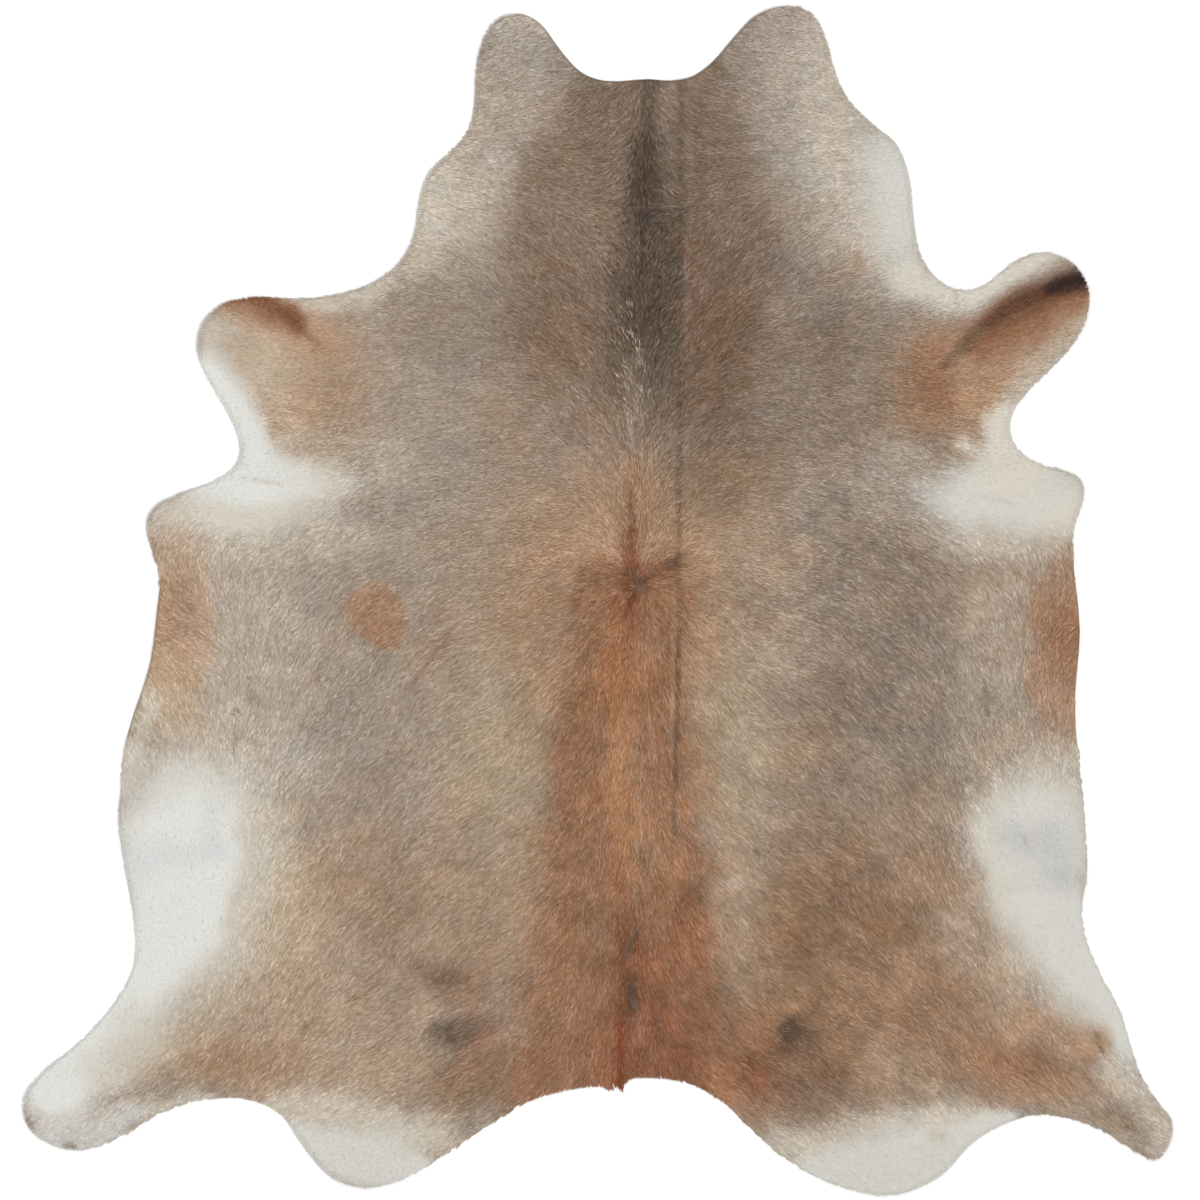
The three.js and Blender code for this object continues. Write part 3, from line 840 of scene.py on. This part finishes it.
def mesh_object(name, points, faces, material):
    """A mesh from points in millimetres and three-cornered faces."""
    mesh = bpy.data.meshes.new(name)
    mesh.vertices.add(len(points))
    mesh.vertices.foreach_set("co", (points * MM).astype(np.float32).ravel())
    mesh.loops.add(faces.size)
    mesh.loops.foreach_set("vertex_index", faces.astype(np.int32).ravel())
    mesh.polygons.add(len(faces))
    mesh.polygons.foreach_set("loop_start", np.arange(0, faces.size, 3, dtype=np.int32))
    mesh.update(calc_edges=True)
    mesh.materials.append(material)
    made = bpy.data.objects.new(name, mesh)
    bpy.context.scene.collection.objects.link(made)
    return made


def set_colour(made, name, colour):
    attribute = made.data.attributes.new(name, "FLOAT_COLOR", "POINT")
    values = np.concatenate([np.maximum(colour, 0), np.ones((len(colour), 1))], 1)
    attribute.data.foreach_set("color", values.astype(np.float32).ravel())


def set_number(made, name, values):
    attribute = made.data.attributes.new(name, "FLOAT", "POINT")
    attribute.data.foreach_set("value", values.astype(np.float32))


class Nodes:
    """Short ways to add and join a material's nodes."""

    def __init__(self, name):
        self.material = bpy.data.materials.new(name)
        self.material.use_nodes = True
        self.tree = self.material.node_tree
        self.shader = self.tree.nodes["Principled BSDF"]

    def add(self, kind, **settings):
        node = self.tree.nodes.new(kind)
        for key, value in settings.items():
            if key in node.inputs:
                node.inputs[key].default_value = value
            else:
                setattr(node, key, value)
        return node

    def join(self, source, target):
        self.tree.links.new(source, target)

    def range(self, source, low, high, from_low=0.0, from_high=1.0):
        node = self.add("ShaderNodeMapRange")
        self.join(source, node.inputs["Value"])
        for key, value in zip(("From Min", "From Max", "To Min", "To Max"), (from_low, from_high, low, high)):
            node.inputs[key].default_value = value
        return node.outputs["Result"]

    def attribute(self, name, output):
        return self.add("ShaderNodeAttribute", attribute_name=name).outputs[output]

    def joined(self, kind, operation, first, second):
        node = self.add(kind, operation=operation)
        self.join(first, node.inputs[0])
        self.join(second, node.inputs[1])
        return node.outputs[0]

    def times(self, first, second):
        return self.joined("ShaderNodeMath", "MULTIPLY", first, second)

    def plus(self, first, second):
        return self.joined("ShaderNodeMath", "ADD", first, second)

    def value(self, amount):
        node = self.add("ShaderNodeValue")
        node.outputs[0].default_value = amount
        return node.outputs[0]

    def scaled(self, colour, amount):
        node = self.add("ShaderNodeVectorMath", operation="SCALE")
        self.join(colour, node.inputs[0])
        self.join(amount, node.inputs["Scale"])
        return node.outputs[0]

    def noise(self, size, detail):
        """Noise with features of about a size in millimetres."""
        place = self.add("ShaderNodeTexCoord").outputs["Object"]
        node = self.add("ShaderNodeTexNoise", Scale=1 / (size * MM), Detail=detail)
        self.join(place, node.inputs["Vector"])
        return node.outputs["Fac"]

    def texture(self, name):
        size, detail, span, values = TEXTURES[name]
        return self.range(self.noise(size, detail), *values, *span)

    def set(self, name, value):
        self.shader.inputs[name].default_value = value

    def feed(self, name, source):
        self.join(source, self.shader.inputs[name])


def coat_material(name):
    """Hair: its own colour at each lock, with painted shade darker at the root, a fine grain and a soft low
    sheen.
    """
    nodes = Nodes(name)
    shade = nodes.range(nodes.attribute("shade", "Fac"), *HAIR_SHADES[name], -1.0)
    texture = nodes.plus(nodes.plus(shade, nodes.texture("hair grain")), nodes.texture("hair mottle"))
    varied = nodes.times(texture, nodes.attribute("relief", "Fac"))
    tone = nodes.times(varied, nodes.value(1 / LIGHT_PER_TONE))
    shift = nodes.scaled(nodes.attribute("lightening", "Color"), tone)
    mixed = nodes.joined("ShaderNodeVectorMath", "ADD", nodes.attribute("coat", "Color"), shift)
    nodes.feed("Base Color", mixed)
    nodes.feed("Roughness", nodes.texture("hair roughness"))
    nodes.set("Specular IOR Level", HAIR_SPECULAR)
    return nodes.material


def under_hair_material():
    """The skin's hair side: the coat's colour darkened by painted shade, seen only as a dark gap between
    locks.
    """
    nodes = Nodes("skin_under_hair")
    varied = nodes.times(nodes.texture("shade in gaps between locks"), nodes.attribute("relief", "Fac"))
    shade = nodes.range(varied, 0.0, 2.0, -1.0)
    nodes.feed("Base Color", nodes.scaled(nodes.attribute("coat", "Color"), shade))
    nodes.set("Roughness", SKIN_ROUGHNESS)
    return nodes.material


def flesh_side_material():
    """Buffed suede: pale warm grey-beige with cloudy patches, a soft nap and a fine relief."""
    nodes = Nodes("flesh_side_suede")
    ramp = nodes.add("ShaderNodeValToRGB")
    for element, position, colour in zip(ramp.color_ramp.elements, SUEDE_CLOUD_SPAN, SUEDE_COLOURS):
        element.position = position
        element.color = (*as_light(np.array(colour, float)), 1)
    nodes.join(nodes.noise(*SUEDE_CLOUD), ramp.inputs["Fac"])
    nodes.feed("Base Color", nodes.scaled(ramp.outputs["Color"], nodes.texture("suede nap")))
    bump = nodes.add("ShaderNodeBump", Strength=SUEDE_BUMP_STRENGTH, Distance=SUEDE_BUMP_HEIGHT * MM)
    nodes.join(nodes.noise(*SUEDE_BUMP), bump.inputs["Height"])
    nodes.feed("Normal", bump.outputs["Normal"])
    nodes.set("Roughness", SUEDE_ROUGHNESS)
    return nodes.material


def overhang(rim, lie):
    """How far the skin's edge is set back under the hair, more where the hair lies outward over it."""
    outward = (lie(rim) * rim_normals(rim)).sum(1)
    reach = np.clip(outward, 0, 1)
    for _ in range(SETBACK_PASSES):
        reach = (np.roll(reach, SETBACK_NEIGHBOUR) + reach + np.roll(reach, -SETBACK_NEIGHBOUR)) / 3
    return SKIN_SETBACK + SKIN_SETBACK_UNDER_OVERHANG * reach


def setback_field(rim, nearest, lie, inside):
    """How far inside the hide's edge the locks root at the least: as far as the skin is set back there."""
    low, shape, places = grid_places(SHAPE_STEP)
    gap = overhang(rim, lie)
    near_edge = inside.values.ravel() < SETBACK_ZONE
    setback = np.full(len(places), gap.mean())
    setback[near_edge] = gap[nearest(places[near_edge])]
    return Field(low, SHAPE_STEP, setback.reshape(shape))


def three_way_grid(low, high, spacing):
    """Places on an even grid whose every other row is moved by half a step."""
    rows = np.arange(low[1], high[1], spacing * ROW_STEP)
    x, y = np.meshgrid(np.arange(low[0], high[0], spacing), rows)
    x = x + (np.arange(len(x)) % 2)[:, None] * spacing / 2
    return np.stack([x.ravel(), y.ravel()], 1)


def make_skin(rim, inside, base, lie, coat):
    """The skin as one closed thin sheet, with its cut edge set back under the hair."""
    edge = (rim - overhang(rim, lie)[:, None] * rim_normals(rim))[::SKIN_RIM_STEP // RIM_STEP]
    middle = three_way_grid(rim.min(0), rim.max(0), SKIN_GRID_STEP)
    middle = middle[inside(middle) > SKIN_GRID_STEP]
    places = [Vector(p) for p in np.vstack([edge, middle])]
    ring = np.arange(len(edge))
    following = np.roll(ring, -1)
    links = list(zip(ring.tolist(), following.tolist()))
    found = delaunay_2d_cdt(places, links, [ring.tolist()], SKIN_FILL_INSIDE, SKIN_JOIN_WITHIN)
    flat = np.array([tuple(p) for p in found[0]])
    top = np.array(found[2])
    heights = base(flat)
    lower = np.column_stack([flat, heights])
    upper = np.column_stack([flat, heights + SKIN_THICKNESS])
    below = len(flat)
    walls = np.vstack([
        np.column_stack([ring + below, following + below, following]),
        np.column_stack([ring + below, following, ring]),
    ])
    faces = np.vstack([top, top[:, ::-1] + below, walls])
    skin = mesh_object("hide_skin", np.vstack([upper, lower]), faces, under_hair_material())
    skin.data.materials.append(flesh_side_material())
    skin.data.polygons.foreach_set("material_index", np.repeat([0, 1, 1], [len(top), len(top), len(walls)]))
    shades = np.vstack([coat(flat), coat(flat)])
    set_colour(skin, "coat", as_light(shades[:, :3]) - SHEEN)
    set_number(skin, "relief", np.clip(shades[:, 3], 0, 1))
    return skin


def lattice(spacing, shift, inside):
    """Root places on a jittered three-way grid, inside the hide's edge."""
    low, high = (np.array(corner[:2]) / MM for corner in CAD_BOX)
    places = three_way_grid(low, high, spacing) + shift * np.array((spacing, spacing * ROW_STEP))
    places += rng.uniform(-0.5, 0.5, places.shape) * spacing
    return places[inside(places) > 0]


def hide_thickness(across):
    """The hide's thickness with its hair, thinner toward the belly edges."""
    thinner = smooth(np.abs(across) / (FLAT_SIZE[0] / MM / 2))
    return THICKNESS_AT_BACK - (THICKNESS_AT_BACK - THICKNESS_AT_BELLY) * thinner


def turned(headings, degrees):
    """Headings turned by an angle each."""
    c, s = np.cos(np.radians(degrees)), np.sin(np.radians(degrees))
    x, y = headings.T
    return np.stack([x * c - y * s, x * s + y * c], 1)


def lock_tones(layer, seen, contrast, streak, clump):
    """How much lighter or darker each lock is than the coat around it."""
    own = np.clip(rng.normal(0, 1, len(seen)), -TONE_LIMIT, TONE_LIMIT) * layer["tone"]
    tone = own + STREAK_TONE * streak(seen) + CLUMP_TONE * clump(seen)
    return np.exp(tone * contrast) - 1


def lightening(colour):
    """What a full step of tone adds to a colour, with more to its weaker parts, which makes it greyer."""
    level = colour.mean(-1, keepdims=True)
    return level * (level / np.maximum(colour, 1)) ** LIGHT_IS_GREYER


def richer(light, relief):
    """The colours a little stronger where the coat shows its texture, to make up for its sheen."""
    level = light.mean(1, keepdims=True)
    return level + (light - level) * (1 + RICHER * relief)[:, None]


def flecked(colour, root):
    """The locks' colours with hairs of other colours scattered among them."""
    for name, share, *patch in FLECKS:
        picked = rng.uniform(0, 1, len(root)) < share * patch_weight(root, *patch)
        colour[picked] += FLECK_STRENGTH * (np.array(COLOURS[name]) - colour[picked])
    return colour


def trimmed(length, root, heading, inside):
    """The locks' lengths, cut short where their tips would hang past the hide's edge."""
    depth = inside(root)
    tip_depth = inside(root + heading * length[:, None])
    allowed = -rng.uniform(0, TIP_OVERHANG, len(root))
    for tuft in TUFTS:
        allowed -= TUFT_REACH * patch_weight(root, *tuft, TUFT_SOFTNESS)
    run = np.maximum(depth - tip_depth, LEAST_OUTWARD_RUN)
    shorter = length * np.clip((depth - allowed) / run, SHORTEST_SHARE, 1)
    return np.where(tip_depth < allowed, shorter, length)


def lock_corners(layer, root, heading, length, relief, fields):
    """Each lock's root, side, tip and other side, as places on the hide and heights over its flesh side."""
    inside, clump = fields[0], fields[-1]
    count = len(root)
    beside = np.stack([-heading[:, 1], heading[:, 0]], 1)
    swerve = rng.normal(0, LOCK_SWERVE, count)[:, None] * length[:, None] * beside
    width = layer["width"] * (1 + WIDER_WHERE_SMOOTH * (1 - relief))
    half = (rng.uniform(*WIDTH_SPREAD, count) * width / 2)[:, None] * beside
    middle = root + heading * (WIDEST_AT * length)[:, None] + swerve * SWERVE_AT_WIDEST
    tip = root + heading * length[:, None] + swerve
    low, high = layer["lift"]
    uneven = (high - low) * rng.uniform(-0.5, 0.5, count) + CLUMP_LIFT * clump(root)
    lift = np.clip((low + high) / 2 + relief * uneven, *LIFT_LIMITS)
    droop = RIM_DROOP * (1 - smooth(np.maximum(inside(tip), 0) / RIM_DROOP_REACH))
    top = lift * hide_thickness(root[:, 0]) * (1 - droop)
    bottom = ROOT_HEIGHT + ROOT_RISE_WHERE_SMOOTH * (1 - relief) * (top - ROOT_HEIGHT)
    side = bottom + (top - bottom) * RISE_AT_WIDEST - relief * LOCK_FOLD * width / 2
    return [(root, bottom), (middle - half, side), (tip, top), (middle + half, side)]


def colour_locks(made, layer, seen, corners, relief, fields):
    """Gives each lock the coat's colour at its corners and a tone of its own, with painted shade at the hide's
    edge.
    """
    inside, _, _, coat, streak, clump = fields
    tones = lock_tones(layer, seen, coat(seen)[:, 3], streak, clump)
    own = np.stack([coat(place)[:, :3] for place, _ in corners], 1)
    own = flecked(own, corners[0][0])
    own = (own + tones[:, None, None] * lightening(own)).reshape(-1, 3)
    places = np.stack([place for place, _ in corners], 1).reshape(-1, 2)
    edge = 1 - smooth(inside(places) / RIM_SHADE_REACH)
    reliefs = np.repeat(relief, LOCK_CORNERS)
    # Painted shade: darker at the hide's edge, and in the smooth whites for the shadow between locks they
    # lack.
    own *= ((1 - RIM_SHADE * edge) * (1 - SHADE_PAINTED_WHERE_SMOOTH * (1 - reliefs)))[:, None]
    light = as_light(own)
    lighter = as_light(own + LIGHTENING_STEP * lightening(own))
    set_colour(made, "coat", richer(light, reliefs) - SHEEN)
    set_colour(made, "lightening", (lighter - light) / LIGHTENING_STEP)
    set_number(made, "shade", np.tile(SHADE_AT_CORNERS, len(relief)))
    set_number(made, "relief", reliefs)


def make_layer(layer, index, setback, fields, material):
    """One layer of locks. Each is a slim kite, folded along its length, that leans up from root to tip."""
    inside, base, lie, coat, _, _ = fields
    root = lattice(LOCK_SPACING, index / len(LAYERS), inside)
    root = root[inside(root) > setback(root)]
    count = len(root)
    smoothness = 1 - np.clip(coat(root)[:, 3], LEAST_RELIEF, 1)
    spread = rng.normal(0, HEADING_SPREAD, count) * (1 - STRAIGHTER_WHERE_SMOOTH * smoothness)
    heading = turned(lie(root), spread)
    length = trimmed(rng.uniform(*layer["length"], count), root, heading, inside)
    seen = root + heading * (length * SHADED_AT)[:, None]
    relief = np.clip(coat(seen)[:, 3], LEAST_RELIEF, 1)
    corners = lock_corners(layer, root, heading, length, relief, fields)
    points = np.stack([np.column_stack([place, base(place) + height]) for place, height in corners], 1)
    first = LOCK_CORNERS * np.arange(count)[:, None]
    faces = np.stack([first + (0, 1, 2), first + (0, 2, 3)], 1).reshape(-1, 3)
    made = mesh_object(layer["name"], points.reshape(-1, 3), faces, material)
    colour_locks(made, layer, seen, corners, relief, fields)
    return made


def finish_piece(piece):
    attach(piece, "root")
    return piece


def make_camera():
    camera = bpy.data.objects.new("camera", bpy.data.cameras.new("camera"))
    camera.data.lens = CAMERA_LENS
    camera.data.sensor_width = CAMERA_SENSOR
    camera.data.clip_end = CAMERA_FAR
    camera.location = (CAMERA_ACROSS, 0, PICTURE_WIDTH * CAMERA_LENS / CAMERA_SENSOR)
    bpy.context.scene.collection.objects.link(camera)
    bpy.context.scene.camera = camera


def make_floor():
    half = FLOOR_HALF / MM
    sides = ((-half, -half), (half, -half), (half, half), (-half, half))
    corners = np.array([(x, y, -FLOOR_DROP) for x, y in sides])
    nodes = Nodes("studio_floor")
    white = nodes.add("ShaderNodeCombineColor", **FLOOR_COLOUR).outputs["Color"]
    nodes.feed("Base Color", nodes.scaled(white, nodes.texture("floor tint")))
    nodes.set("Roughness", FLOOR_ROUGHNESS)
    floor = mesh_object("floor", corners, np.array([(0, 1, 2), (0, 2, 3)]), nodes.material)


def make_light():
    """Even studio light with a soft key on one side and a softer fill from the other."""
    world = bpy.data.worlds.new("studio")
    bpy.context.scene.world = world
    world.use_nodes = True
    sky = world.node_tree.nodes["Background"]
    sky.inputs["Color"].default_value = (1, 1, 1, 1)
    sky.inputs["Strength"].default_value = SKY_STRENGTH
    for name, strength, width, tilt, turn in SUNS:
        light = bpy.data.lights.new(name, "SUN")
        light.energy = strength
        light.angle = math.radians(width)
        lamp = bpy.data.objects.new(name, light)
        lamp.rotation_euler = (math.radians(tilt), 0, math.radians(turn))
        bpy.context.scene.collection.objects.link(lamp)


def make_rug():
    points, faces, tilts = packed_hide()
    rim = hide_rim(points, faces, tilts)
    nearest = rim_finder(rim)
    inside, just_inside = inside_field(rim, nearest)
    base = base_field(points, faces, inside, just_inside)
    lie = lie_field()
    coat = coat_field()
    streak = streak_field(lie, *STREAKS, SEED + 1)
    clump = streak_field(lie, *CLUMPS, SEED + 2)
    setback = setback_field(rim, nearest, lie, inside)

    skin = make_skin(rim, inside, base, lie, coat)
    finish_piece(skin)
    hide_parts("hide")
    fields = (inside, base, lie, coat, streak, clump)
    under, over = (coat_material(name) for name in HAIR_SHADES)
    for index, layer in enumerate(LAYERS):
        material = under if index < UNDERCOAT_LAYERS else over
        finish_piece(make_layer(layer, index, setback, fields, material))


make_camera()
make_light()
make_floor()
make_rug()
bpy.context.scene.view_settings.view_transform = "Standard"
